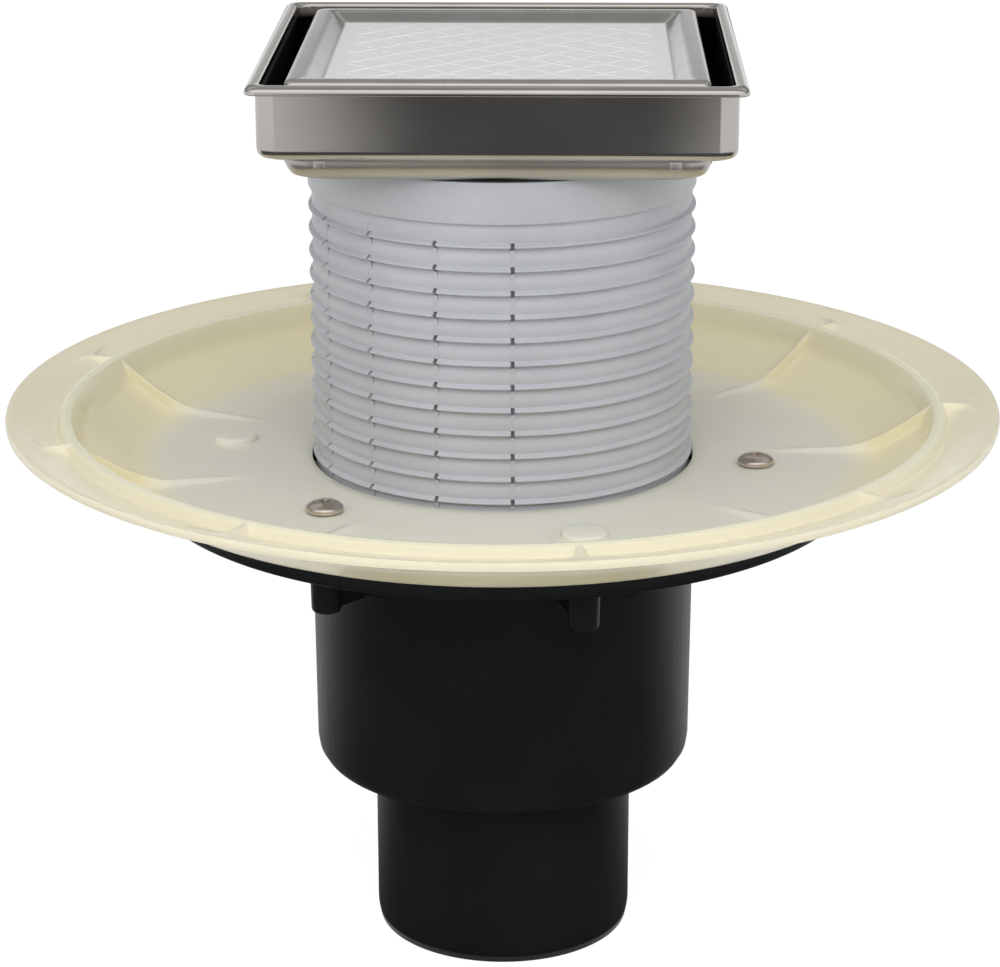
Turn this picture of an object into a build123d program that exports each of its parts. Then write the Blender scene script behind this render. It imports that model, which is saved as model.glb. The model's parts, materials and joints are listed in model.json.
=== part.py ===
from build123d import *
import os

os.makedirs("parts", exist_ok=True)

# A floor drain with a tile insert: millimetres, Z up, origin at the centre of the outlet's end.

# Drain body: outlet spigot, pot, socket for the neck and clamping flange
outlet_d = 75.0
outlet_wall = 2.5
spigot_length = 53.0
spigot_chamfer = 0.8
spigot_lead = 4.0
body_draft = 0.5
body_wall = 3.0
body_length = 83.0
body_corner = 4.0
stop_width = 2.2
flange_reach = 46.6
flange_thick = 5.8
flange_round = 1.0
socket_depth = 22.3
socket_wall = 3.2
socket_floor = 2.6
socket_chamfer = 1.0

# Bosses under the flange, for the screws and for the collar's locating pegs
boss_d = 9.0
boss_length = 19.5
peg_boss_length = 17.0
boss_web = 2.4
screw_count = 3
screw_reach = 18.8
screw_angle = -130.0
peg_reach = 23.8
peg_angles = (-72.6, 50.0, 174.0)
peg_d = 5.0
peg_length = 9.0
peg_pad_d = 12.4
peg_pad_rise = 1.5
peg_clearance = 0.1
peg_hole_floor = 1.0

# Pan head screws with a cross recess
screw_d = 4.8
screw_length = 22.0
screw_point = 3.0
screw_tip_d = 1.2
screw_head_d = 10.4
screw_head_height = 2.9
screw_head_edge = 1.3
head_crown_run = 3.5
head_crown_drop = 0.46
recess_length = 5.2
recess_width = 1.2
recess_depth = 1.5
screw_clearance = 0.3
thread_clearance = 0.05

# Waterproofing collar: a shallow dish with an upstanding bead, a sloping rim and nine ribs
collar_thick = 2.7
collar_gasket_thick = 1.0
collar_gasket_inset = 2.0
collar_hole_clearance = 0.7
dish_floor_margin = 5.7
dish_slope_width = 13.0
dish_slope_rise = 8.0
bead_foot = 2.6
bead_width = 3.4
bead_rise = 15.0
bead_round = 1.2
gutter_rise = 12.0
gutter_width = 0.6
rim_width = 15.0
rim_rise = 16.3
rim_round = 0.9
rib_count = 9
rib_thick = 2.0
rib_reach = 8.5
rib_toe_inset = 9.5
rib_toe_rise = 1.3
rib_tail = 23.0
floor_skin_run = 1.0
slope_skin_run = 2.0
slope_skin_thick = 2.43
bead_skin_run = 1.5

# Neck: a tube with cutting rings, each broken by weep notches
neck_d = 108.4
neck_ring_height = 1.0
neck_wall = 2.6
neck_length = 116.2
neck_band = 11.3
ring_first = 17.5
ring_pitch = 6.485
plain_rings = 3
ring_land = 1.5
ring_upper_slope = 1.0
ring_lower_slope = 0.35
foot_band = 3.2
foot_chamfer = 0.8
notch_groups = 2
notch_columns = 5
notch_angle = -85.4
notch_step = -22.5
notch_width = 2.6
notch_room = 2.0
notch_bite = 0.15
pit_width = 1.6
pit_height = 2.2
pit_depth = 1.2
thread_length = 12.0
thread_runout = 1.0
thread_wall = 5.1
socket_clearance = 2.1
seal_clearance = 0.03
seal_height = 4.7

# Stainless pan with its frame flange, gasket and lock ring
sheet = 1.2
frame_reach = 2.4
lip_height = 2.4
frame_corner = 3.0
flange_bend = 1.9
mouth_bend = 1.1
ledge_width = 6.6
pan_corner = 5.2
pan_wall_height = 20.0
pan_bottom_round = 4.2
step_margin = 1.8
step_corner = 7.0
step_height = 6.8
step_round = 3.0
nub_width = 3.0
nub_height = 2.4
nub_rise = 0.3
nub_inset = 1.0
pan_gasket_thick = 0.5
pan_gasket_inset = 0.5
lock_ring_thick = 2.2
lock_ring_wall = 2.0
lock_ring_depth = 10.0
lock_notch_count = 6
lock_notch_width = 6.0
lock_notch_depth = 1.4
lock_clearance = 0.1
lock_seat_clearance = 0.2
pan_hole_clearance = 0.3

# Tile tray and its four feet
tray_gap = 5.9
tray_drop = 0.3
tray_rim = 4.9
tray_recess = 3.0
tray_recess_run = 4.0
tray_recess_corner = 1.5
tray_recess_round = 1.0
tray_mouth_round = 0.8
tray_skirt = 7.0
tray_corner = 2.4
tray_round = 1.6
hatch_reach = 42.0
hatch_pitch = 9.9
hatch_width = 1.6
hatch_rise = 0.35
foot_leg = 12.0
foot_tab = 2.6

# Hair strainer that hangs in the lock ring
strainer_sheet = 1.2
strainer_depth = 9.0
strainer_clearance = 0.5
strainer_slots = 16
strainer_slot_width = 3.0
strainer_hub_d = 26.0
strainer_edge = 4.0
strainer_knob_d = 9.0
strainer_knob_height = 9.0

# Water trap: cup with a standpipe, seal, bell and lifting bail
cup_clearance = 1.0
cup_wall = 2.0
cup_height = 66.0
cup_lip = 1.0
standpipe_gap = 11.0
standpipe_wall = 2.0
seal_depth = 50.0
cup_foot_length = 12.0
cup_foot_clearance = 0.4
trap_seal_cord = 2.4
bell_gap = 6.0
bell_wall = 2.0
bell_lift = 8.0
bell_headroom = 10.0
bell_foot_count = 3
bell_foot_width = 6.0
bell_foot_inset = 0.1
bell_foot_root = 1.0
bell_round = 5.0
lug_spread = 40.0
lug_thick = 4.0
lug_width = 7.0
bail_wire = 3.0
bail_gap = 0.3
bail_fit = 0.05
bail_grip = 30.0

# Levels, from the outlet's end upwards
body_floor_z = spigot_length + body_wall
flange_under_z = spigot_length + body_length
flange_top_z = flange_under_z + flange_thick
collar_under_z = flange_top_z + collar_gasket_thick
dish_floor_z = collar_under_z + collar_thick
neck_foot_z = flange_top_z - socket_depth
neck_top_z = neck_foot_z + neck_length
pan_under_z = neck_top_z + pan_gasket_thick
ledge_under_z = pan_under_z + step_height
frame_top_z = ledge_under_z + pan_wall_height
lock_seat_z = pan_under_z + sheet
lock_top_z = lock_seat_z + lock_ring_thick
tray_top_z = frame_top_z - tray_drop
tray_floor_z = tray_top_z - tray_recess

# Radii that mating pieces share
outlet_r = outlet_d / 2
outlet_bore_r = outlet_r - outlet_wall
neck_r = neck_d / 2
body_bore_r = neck_r - stop_width
body_r = body_bore_r + body_wall
neck_core_r = neck_r - neck_ring_height
neck_bore_r = neck_core_r - neck_wall
thread_bore_r = neck_r - thread_wall
socket_bore_r = neck_r + socket_clearance
socket_r = socket_bore_r + socket_wall
collar_hole_r = neck_r + collar_hole_clearance
flange_r = neck_r + flange_reach
screw_row_r = neck_r + screw_reach
peg_row_r = neck_r + peg_reach
dish_floor_r = flange_r + dish_floor_margin
dish_slope_r = dish_floor_r + dish_slope_width
bead_inner_r = dish_slope_r + bead_foot
bead_r = bead_inner_r + bead_width
collar_r = bead_r + rim_width
step_w = neck_d + 2 * step_margin
pan_w = step_w + 2 * ledge_width
frame_w = pan_w + 2 * frame_reach
tray_w = pan_w - 2 * sheet - 2 * tray_gap
lock_sleeve_r = thread_bore_r - lock_clearance
lock_bore_r = lock_sleeve_r - lock_ring_wall
pan_hole_r = lock_sleeve_r + pan_hole_clearance
lock_flange_r = step_w / 2 - step_round - lock_seat_clearance
cup_r = lock_bore_r - cup_clearance - cup_lip
bell_r = cup_r - cup_wall - bell_gap
standpipe_r = bell_r - bell_wall - standpipe_gap


def turned(points):
    """A solid of revolution about Z from (radius, height) points."""
    outline = Plane.XZ * make_face(Polyline(*points, close=True))
    return revolve(outline, Axis.Z)


def tube(outer_r, inner_r, low_z, high_z):
    """A plain tube between two levels."""
    ring = Circle(outer_r) - Circle(inner_r)
    return Pos(0, 0, low_z) * extrude(ring, high_z - low_z)


def disc(radius, low_z, high_z):
    """A plain disc between two levels."""
    return Pos(0, 0, low_z) * extrude(Circle(radius), high_z - low_z)


def square_block(width, corner, low_z, high_z):
    """A block with a square plan and rounded upright corners."""
    return Pos(0, 0, low_z) * extrude(RectangleRounded(width, width, corner), high_z - low_z)


def tapered_block(low_w, low_corner, high_w, high_corner, low_z, high_z):
    """A block with a square plan that changes in width between two levels."""
    low = Pos(0, 0, low_z) * RectangleRounded(low_w, low_w, low_corner)
    high = Pos(0, 0, high_z) * RectangleRounded(high_w, high_w, high_corner)
    return loft([low, high])


def around(shape, count, first_angle=0.0):
    """Copies of a shape, evenly turned about Z."""
    return [Rot(0, 0, first_angle + k * 360.0 / count) * shape for k in range(count)]


def at_angles(shape, angles):
    """Copies of a shape, turned about Z to these angles."""
    return [Rot(0, 0, angle) * shape for angle in angles]


def edges_at(shape, level):
    """Edges that lie flat at one level."""
    return shape.edges().filter_by_position(Axis.Z, level - 0.001, level + 0.001)


def mouth_edges(shape, level, half):
    """Edges at one level that lie inside a square of this half width."""
    def reach(edge):
        return max(abs(edge.center().X), abs(edge.center().Y))
    return [edge for edge in edges_at(shape, level) if reach(edge) < half]


def save(shape, name):
    """Writes one sub-part."""
    export_step(shape, "parts/" + name + ".step")


def group(solids):
    """Like pieces that stay separate solids in one sub-part."""
    return Compound(children=[Solid(piece.solid().wrapped) for piece in solids])


def make_drain_body():
    """Spigot, pot, socket and clamping flange, moulded in one piece."""
    low_r = body_r - body_draft
    step_z = neck_foot_z - socket_floor
    shell = turned([
        (outlet_bore_r, 0), (outlet_r - spigot_chamfer, 0), (outlet_r, spigot_lead),
        (outlet_r, spigot_length), (low_r, spigot_length), (body_r, step_z - body_corner),
        (body_r, step_z), (socket_r, step_z), (socket_r, flange_under_z),
        (flange_r, flange_under_z), (flange_r, flange_top_z),
        (socket_bore_r + socket_chamfer, flange_top_z),
        (socket_bore_r, flange_top_z - socket_chamfer), (socket_bore_r, neck_foot_z),
        (body_bore_r, neck_foot_z), (low_r - body_wall, body_floor_z),
        (outlet_bore_r, body_floor_z),
    ])
    corner = edges_at(shell, spigot_length).sort_by(SortBy.RADIUS)[-1]
    shell = fillet(corner, body_corner)
    outer = [edges_at(shell, z).sort_by(SortBy.RADIUS)[-1] for z in (flange_under_z, flange_top_z)]
    shell = fillet(outer, flange_round)
    screw_boss = make_boss(screw_row_r, boss_length)
    peg_boss = make_boss(peg_row_r, peg_boss_length)
    for piece in around(screw_boss, screw_count, screw_angle) + at_angles(peg_boss, peg_angles):
        shell += piece
    pilot_depth = screw_length - collar_thick - collar_gasket_thick + screw_point
    pilot = Pos(screw_row_r, 0, 0) * disc(
        screw_d / 2 + thread_clearance, flange_top_z - pilot_depth, flange_top_z)
    peg_depth = peg_length - collar_gasket_thick + peg_hole_floor
    socket = Pos(peg_row_r, 0, 0) * disc(
        peg_d / 2 + peg_clearance, flange_top_z - peg_depth, flange_top_z)
    for hole in around(pilot, screw_count, screw_angle) + at_angles(socket, peg_angles):
        shell -= hole
    return shell


def make_boss(row_r, length):
    """A boss under the flange, with the web that ties it to the socket."""
    boss = Pos(row_r, 0, 0) * disc(boss_d / 2, flange_under_z - length, flange_under_z)
    reach = row_r - socket_r + socket_wall / 2
    web = Box(reach, boss_web, length)
    return boss + Pos(row_r - reach / 2, 0, flange_under_z - length / 2) * web


def make_collar_gasket():
    """Flat rubber ring between the flange and the collar."""
    ring = tube(flange_r - collar_gasket_inset, socket_r, flange_top_z, collar_under_z)
    screw_hole = Pos(screw_row_r, 0, 0) * disc(
        screw_d / 2 + screw_clearance, flange_top_z, collar_under_z)
    peg_hole = Pos(peg_row_r, 0, 0) * disc(
        peg_d / 2 + screw_clearance, flange_top_z, collar_under_z)
    for hole in around(screw_hole, screw_count, screw_angle):
        ring -= hole
    for hole in at_angles(peg_hole, peg_angles):
        ring -= hole
    return ring


def collar_underside():
    """Points of the collar's lower skin, from the hole to the rim."""
    slope_z = dish_floor_z + dish_slope_rise
    return [
        (collar_hole_r, collar_under_z), (dish_floor_r + floor_skin_run, collar_under_z),
        (dish_slope_r + slope_skin_run, slope_z - slope_skin_thick),
        (bead_r + bead_skin_run, dish_floor_z + gutter_rise - collar_thick),
        (collar_r, dish_floor_z + rim_rise - collar_thick),
    ]


def make_collar():
    """Moulded dish with its bead, sloping rim, ribs, pads and locating pegs."""
    bead_z = dish_floor_z + bead_rise
    rim_z = dish_floor_z + rim_rise
    outline = Polyline(
        *collar_underside(), (collar_r, rim_z),
        (bead_r + gutter_width, dish_floor_z + gutter_rise), (bead_r, bead_z),
        (bead_inner_r, bead_z), (dish_slope_r, dish_floor_z + dish_slope_rise),
        (dish_floor_r, dish_floor_z), (collar_hole_r, dish_floor_z), close=True)
    face = make_face(outline)
    bead_corners = [v for v in face.vertices() if abs(v.Y - bead_z) < 0.01]
    face = fillet(bead_corners, bead_round)
    rim_corners = [v for v in face.vertices() if v.X > collar_r - 0.01 and v.Y > rim_z - 0.01]
    face = fillet(rim_corners, rim_round)
    dish = revolve(Plane.XZ * face, Axis.Z)
    for rib in around(make_rib(), rib_count):
        dish += rib
    pad = Pos(peg_row_r, 0, 0) * disc(peg_pad_d / 2, dish_floor_z, dish_floor_z + peg_pad_rise)
    pad = fillet(edges_at(pad, dish_floor_z + peg_pad_rise), peg_pad_rise / 2)
    peg = Pos(peg_row_r, 0, 0) * disc(peg_d / 2, collar_under_z - peg_length, dish_floor_z)
    for piece in at_angles(pad + peg, peg_angles):
        dish += piece
    hole = Pos(screw_row_r, 0, 0) * disc(
        screw_d / 2 + screw_clearance, collar_under_z, dish_floor_z)
    for cut in around(hole, screw_count, screw_angle):
        dish -= cut
    return dish


def make_rib():
    """One radial rib: a wedge outside the bead and a swept toe inside it."""
    crest_z = dish_floor_z + bead_rise - bead_round / 3
    toe_z = dish_floor_z + rib_toe_rise
    toe_r = dish_floor_r - rib_toe_inset
    tail_r = toe_r - rib_tail
    tip_r = bead_r + rib_reach
    tip_z = dish_floor_z + gutter_rise + (rim_rise - gutter_rise) * rib_reach / rim_width
    lift = collar_thick / 2
    skin = [(radius, level + lift) for radius, level in collar_underside()[1:4]]
    crest = Line((tip_r, tip_z), (bead_r - bead_round, crest_z))
    top = Line(crest @ 1, (bead_inner_r + bead_round, crest_z))
    run = bead_inner_r - toe_r
    drop = crest_z - toe_z
    sweep = Bezier(
        top @ 1, (bead_inner_r - run / 3, crest_z - drop / 2),
        (bead_inner_r - run * 2 / 3, toe_z + drop / 20), (toe_r, toe_z))
    toe = Line(sweep @ 1, (tail_r, dish_floor_z))
    base = Polyline(toe @ 1, (tail_r, skin[0][1]), *skin, (tip_r, tip_z - lift), crest @ 0)
    blade = make_face([crest, top, sweep, toe, base])
    return extrude(Plane.XZ * blade, rib_thick / 2, both=True)


def make_screws():
    """Three pan head screws through the collar into the flange bosses."""
    seat_z = dish_floor_z
    edge_z = seat_z + screw_head_edge
    head = Plane.XZ * make_face([
        Polyline((0, seat_z + screw_head_height), (0, seat_z), (screw_head_d / 2, seat_z),
                 (screw_head_d / 2, edge_z)),
        ThreePointArc((screw_head_d / 2, edge_z),
                      (head_crown_run, seat_z + screw_head_height - head_crown_drop),
                      (0, seat_z + screw_head_height)),
    ])
    head = revolve(head, Axis.Z)
    shank = turned([
        (0, edge_z), (0, seat_z - screw_length), (screw_tip_d / 2, seat_z - screw_length),
        (screw_d / 2, seat_z - screw_length + screw_point), (screw_d / 2, edge_z)])
    screw = head + shank
    for turn in (0, 90):
        slot = Box(recess_length, recess_width, recess_depth * 2)
        screw -= Pos(0, 0, seat_z + screw_head_height) * Rot(0, 0, turn) * slot
    screw = Pos(screw_row_r, 0, 0) * screw
    return group(around(screw, screw_count, screw_angle))


def ring_levels():
    """Centre height of each ring, from the top one down to the foot's band."""
    room = neck_length - ring_first - foot_band - ring_land
    return [neck_top_z - ring_first - k * ring_pitch for k in range(int(room / ring_pitch) + 1)]


def make_neck():
    """Tube with cutting rings and columns of weep notches."""
    band_z = neck_top_z - neck_band
    outer = [(neck_r, neck_top_z), (neck_r, band_z), (neck_core_r, band_z - ring_lower_slope)]
    for level in ring_levels():
        half = ring_land / 2
        outer += [
            (neck_core_r, level + half + ring_upper_slope), (neck_r, level + half),
            (neck_r, level - half), (neck_core_r, level - half - ring_lower_slope)]
    outer += [
        (neck_core_r, neck_foot_z + foot_band + ring_lower_slope), (neck_r, neck_foot_z + foot_band),
        (neck_r, neck_foot_z + foot_chamfer), (neck_r - foot_chamfer, neck_foot_z)]
    inner = [
        (neck_bore_r, neck_foot_z), (neck_bore_r, neck_top_z - thread_length - thread_runout),
        (thread_bore_r, neck_top_z - thread_length), (thread_bore_r, neck_top_z)]
    tube_body = turned(outer + inner)
    rows = ring_levels()[:-plain_rings]
    high_z = rows[0] + ring_pitch / 2
    low_z = rows[-1] - ring_pitch / 2
    slot_r = neck_core_r - notch_bite + notch_room / 2
    slot = Pos(slot_r, 0, (high_z + low_z) / 2) * Box(notch_room, notch_width, high_z - low_z)
    pit_room = notch_room + pit_depth
    pit_r = neck_core_r - pit_depth + pit_room / 2
    tools = []
    for base in range(notch_groups):
        for column in range(notch_columns):
            angle = notch_angle + base * 360.0 / notch_groups + column * notch_step
            tools.append(Rot(0, 0, angle) * slot)
            for level in rows:
                pit = Pos(pit_r, -notch_width / 4, level) * Box(pit_room, pit_width, pit_height)
                tools.append(Rot(0, 0, angle) * pit)
    return tube_body - tools


def make_neck_seal():
    """Round cord seal on the neck's foot, against the socket's bore."""
    cord_r = (socket_bore_r - seal_clearance - neck_core_r) / 2
    ring = Torus(neck_core_r + cord_r, cord_r)
    return Pos(0, 0, neck_foot_z + seal_height) * ring


def make_pan():
    """Pressed sheet pan: frame flange with its lip, wall, ledge and lower step."""
    wall = square_block(pan_w, pan_corner, ledge_under_z, frame_top_z)
    wall = fillet(edges_at(wall, ledge_under_z), pan_bottom_round)
    step = square_block(step_w, step_corner, pan_under_z, ledge_under_z + sheet / 2)
    step = fillet(edges_at(step, pan_under_z), step_round)
    flange = square_block(frame_w, frame_corner, frame_top_z - lip_height, frame_top_z)
    flange = fillet(edges_at(flange, frame_top_z), flange_bend)
    under = square_block(
        frame_w - 2 * sheet, frame_corner - sheet, frame_top_z - lip_height, frame_top_z - sheet)
    under = fillet(edges_at(under, frame_top_z - sheet), flange_bend - sheet)
    pan = wall + step + (flange - under)
    nub = Box(nub_width, 2 * nub_rise, nub_height)
    nub_x = step_w / 2 - step_corner - nub_inset - nub_width / 2
    nub_z = ledge_under_z - nub_inset - nub_height / 2
    for side in (-1, 1):
        for piece in around(Pos(side * nub_x, -step_w / 2, nub_z) * nub, 4):
            pan += piece
    hollow = square_block(pan_w - 2 * sheet, pan_corner - sheet, ledge_under_z + sheet, frame_top_z)
    hollow = fillet(edges_at(hollow, ledge_under_z + sheet), pan_bottom_round - sheet)
    well = square_block(step_w - 2 * sheet, step_corner - sheet, lock_seat_z, ledge_under_z + 2 * sheet)
    well = fillet(edges_at(well, lock_seat_z), step_round - sheet)
    pan -= hollow
    pan -= well
    pan -= disc(pan_hole_r, pan_under_z, lock_seat_z)
    return fillet(mouth_edges(pan, frame_top_z, pan_w / 2), mouth_bend)


def make_pan_gasket():
    """Flat seal between the pan and the top of the neck."""
    return tube(neck_r - pan_gasket_inset, pan_hole_r, neck_top_z, pan_under_z)


def make_lock_ring():
    """Ring screwed into the neck that clamps the pan's floor."""
    ring = turned([
        (lock_bore_r, neck_top_z - lock_ring_depth), (lock_sleeve_r, neck_top_z - lock_ring_depth),
        (lock_sleeve_r, lock_seat_z), (lock_flange_r, lock_seat_z),
        (lock_flange_r, lock_top_z), (lock_bore_r, lock_top_z)])
    notch = Pos(lock_flange_r, 0, lock_top_z - lock_ring_thick / 2)
    notch *= Box(2 * lock_notch_depth, lock_notch_width, lock_ring_thick)
    for cut in around(notch, lock_notch_count):
        ring -= cut
    return ring


def make_tile_tray():
    """Pressed tray that takes a tile: rim, skirt, recess and a diamond keying field."""
    mouth_w = tray_w - 2 * tray_rim
    floor_w = mouth_w - 2 * tray_recess_run
    block = square_block(tray_w, tray_corner, tray_top_z - tray_skirt, tray_top_z)
    block = fillet(edges_at(block, tray_top_z), tray_round)
    recess = tapered_block(
        floor_w, tray_recess_corner, mouth_w, tray_corner, tray_floor_z, tray_top_z)
    recess = fillet(edges_at(recess, tray_floor_z), tray_recess_round)
    groove = square_block(
        tray_w - 2 * sheet, tray_corner - sheet, tray_top_z - tray_skirt, tray_top_z - sheet)
    core = tapered_block(
        floor_w + 2 * sheet, tray_recess_corner + sheet, mouth_w + 2 * sheet, tray_corner + sheet,
        tray_floor_z - sheet, tray_top_z - sheet)
    tray = block - recess - (groove - core)
    tray = fillet(mouth_edges(tray, tray_top_z, mouth_w / 2 + tray_mouth_round), tray_mouth_round)
    field = Box(2 * hatch_reach, 2 * hatch_reach, 4 * hatch_rise)
    lines = int(hatch_reach * 2 ** 0.5 / hatch_pitch)
    bars = []
    for turn in (45, -45):
        for k in range(-lines, lines + 1):
            bar = Box(3 * hatch_reach, hatch_width, 2 * hatch_rise)
            bars.append(Rot(0, 0, turn) * Pos(0, k * hatch_pitch, 0) * bar)
    hatch = field & (bars[0] + bars[1:])
    return tray + Pos(0, 0, tray_floor_z) * hatch


def make_tray_feet():
    """Four folded corner feet under the tray, standing on the pan's ledge."""
    width = tray_w - 2 * sheet
    corner = tray_corner - sheet
    ledge_z = ledge_under_z + sheet
    top_z = tray_top_z - 2 * sheet
    hollow = square_block(width - 2 * sheet, sheet / 4, ledge_z, top_z)
    wall = square_block(width, corner, ledge_z, top_z) - hollow
    tab = square_block(width + 2 * foot_tab, corner, ledge_z, ledge_z + sheet) - hollow
    middle = width / 2 + foot_tab - foot_leg / 2
    window = Pos(middle, middle, (ledge_z + top_z) / 2) * Box(foot_leg, foot_leg, top_z - ledge_z)
    foot = (wall + tab) & window
    return group(around(foot, 4))


def make_strainer():
    """Slotted hair strainer with a lifting knob."""
    rim_r = lock_flange_r - strainer_clearance
    wall_r = lock_bore_r - strainer_clearance
    floor_z = lock_top_z - strainer_depth
    basket = turned([
        (0, floor_z), (wall_r, floor_z), (wall_r, lock_top_z), (rim_r, lock_top_z),
        (rim_r, lock_top_z + strainer_sheet), (wall_r - strainer_sheet, lock_top_z + strainer_sheet),
        (wall_r - strainer_sheet, floor_z + strainer_sheet), (0, floor_z + strainer_sheet)])
    inner_r = strainer_hub_d / 2
    outer_r = wall_r - strainer_edge
    slot = Pos((inner_r + outer_r) / 2, 0, floor_z)
    slot *= Box(outer_r - inner_r, strainer_slot_width, 4 * strainer_sheet)
    for cut in around(slot, strainer_slots):
        basket -= cut
    knob = disc(strainer_knob_d / 2, floor_z, floor_z + strainer_knob_height)
    knob = fillet(edges_at(knob, floor_z + strainer_knob_height), strainer_sheet)
    return basket + knob


def make_trap_cup():
    """Removable cup with a standpipe and a foot that plugs into the outlet."""
    floor_z = body_floor_z + cup_wall
    top_z = body_floor_z + cup_height
    pipe_r = standpipe_r
    pipe_z = floor_z + bell_lift + seal_depth
    foot_r = outlet_bore_r - cup_foot_clearance
    foot_z = body_floor_z - cup_foot_length
    groove_r = outlet_bore_r - seal_clearance - trap_seal_cord
    groove_low = body_floor_z - cup_foot_length / 2 - trap_seal_cord / 2
    groove_high = groove_low + trap_seal_cord
    return turned([
        (pipe_r - standpipe_wall, pipe_z), (pipe_r - standpipe_wall, body_floor_z),
        (groove_r - cup_wall, groove_high), (groove_r - cup_wall, foot_z), (foot_r, foot_z),
        (foot_r, groove_low), (groove_r, groove_low), (groove_r, groove_high),
        (foot_r, groove_high), (foot_r, body_floor_z), (cup_r, body_floor_z),
        (cup_r, top_z - 2 * cup_lip), (cup_r + cup_lip, top_z - 2 * cup_lip),
        (cup_r + cup_lip, top_z), (cup_r - cup_wall, top_z), (cup_r - cup_wall, floor_z),
        (pipe_r, floor_z), (pipe_r, pipe_z)])


def make_trap_seal():
    """Round cord seal on the cup's foot, against the outlet's bore."""
    cord_r = trap_seal_cord / 2
    ring = Torus(outlet_bore_r - seal_clearance - cord_r, cord_r)
    return Pos(0, 0, body_floor_z - cup_foot_length / 2) * ring


def bell_top_z():
    """Level of the flat top of the bell."""
    return body_floor_z + cup_wall + bell_lift + seal_depth + bell_headroom + bell_wall


def bail_axis_z():
    """Level of the bail's hinge line."""
    return bell_top_z() + bail_wire / 2 + bail_gap


def make_trap_bell():
    """Bell over the standpipe, with spacer feet and two lugs for the bail."""
    rim_z = body_floor_z + cup_wall + bell_lift
    top_z = bell_top_z()
    outer = disc(bell_r, rim_z, top_z)
    outer = fillet(edges_at(outer, top_z), bell_round)
    inner = disc(bell_r - bell_wall, rim_z, top_z - bell_wall)
    inner = fillet(edges_at(inner, top_z - bell_wall), bell_round - bell_wall)
    bell = outer - inner
    foot_wall = bell_wall - 2 * bell_foot_inset
    foot_length = bell_lift + bell_foot_root
    foot = Pos(bell_r - bell_wall / 2, 0, rim_z + bell_foot_root - foot_length / 2)
    foot *= Box(foot_wall, bell_foot_width, foot_length)
    for piece in around(foot, bell_foot_count):
        bell += piece
    axis_z = bail_axis_z()
    lug_height = axis_z - top_z + lug_width / 2
    lug = Pos(lug_spread / 2, 0, top_z + lug_height / 2) * Box(lug_thick, lug_width, lug_height)
    for piece in around(lug, 2):
        bell += piece
    hole = Cylinder(bail_wire / 2 + bail_fit, lug_spread + 3 * lug_thick, rotation=(0, 90, 0))
    return bell - Pos(0, 0, axis_z) * hole


def make_trap_bail():
    """Bent wire bail whose ends turn in the bell's lugs."""
    corner = bail_wire
    half = lug_spread / 2 - lug_thick / 2 - bail_gap - corner
    tip = lug_spread / 2 + lug_thick / 2
    path = FilletPolyline(
        (tip, 0), (half, 0), (half, bail_grip), (-half, bail_grip), (-half, 0), (-tip, 0),
        radius=corner)
    section = Plane(path @ 0, z_dir=path % 0) * Circle(bail_wire / 2)
    return Pos(0, 0, bail_axis_z()) * sweep(section, path)


save(make_drain_body(), "drain_body")
save(make_collar_gasket(), "collar_gasket")
save(make_collar(), "collar")
save(make_screws(), "collar_screws")
save(make_neck(), "neck")
save(make_neck_seal(), "neck_seal")
save(make_pan(), "frame_pan")
save(make_pan_gasket(), "pan_gasket")
save(make_lock_ring(), "lock_ring")
save(make_tile_tray(), "tile_tray")
save(make_tray_feet(), "tray_feet")
save(make_strainer(), "hair_strainer")
save(make_trap_cup(), "trap_cup")
save(make_trap_seal(), "trap_seal")
save(make_trap_bell(), "trap_bell")
save(make_trap_bail(), "trap_bail")
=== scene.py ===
import json
import math

import bpy
import bmesh
from mathutils import Matrix, Vector

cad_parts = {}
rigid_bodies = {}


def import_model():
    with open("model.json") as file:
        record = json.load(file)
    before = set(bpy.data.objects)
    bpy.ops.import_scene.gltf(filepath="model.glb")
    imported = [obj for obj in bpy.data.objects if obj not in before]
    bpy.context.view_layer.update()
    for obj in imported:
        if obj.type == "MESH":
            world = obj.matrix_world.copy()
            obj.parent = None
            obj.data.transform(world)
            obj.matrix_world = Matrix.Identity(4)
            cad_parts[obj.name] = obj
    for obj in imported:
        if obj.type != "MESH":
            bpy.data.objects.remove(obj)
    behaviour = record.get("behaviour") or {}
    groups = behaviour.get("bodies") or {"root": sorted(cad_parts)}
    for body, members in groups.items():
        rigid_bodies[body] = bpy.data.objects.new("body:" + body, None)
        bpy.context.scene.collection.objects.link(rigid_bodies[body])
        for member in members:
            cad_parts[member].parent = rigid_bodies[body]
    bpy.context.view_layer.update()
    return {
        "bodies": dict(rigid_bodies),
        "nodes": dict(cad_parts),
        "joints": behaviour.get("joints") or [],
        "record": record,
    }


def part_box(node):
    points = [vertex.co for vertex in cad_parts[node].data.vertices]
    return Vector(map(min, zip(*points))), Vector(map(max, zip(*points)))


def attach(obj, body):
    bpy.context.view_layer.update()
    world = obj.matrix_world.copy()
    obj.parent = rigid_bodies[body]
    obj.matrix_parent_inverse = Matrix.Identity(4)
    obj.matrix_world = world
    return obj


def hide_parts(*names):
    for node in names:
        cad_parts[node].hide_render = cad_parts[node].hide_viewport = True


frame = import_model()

mm = 0.001
weld = 0.002 * mm  # points closer than this are merged
nodes = frame["nodes"]
print("stage: frame loaded,", len(nodes), "nodes")


# Modelling helpers

def boxMm(node):
    # a node's lowest and highest corners in millimetres
    return [Vector(corner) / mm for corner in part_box(node)]


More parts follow.
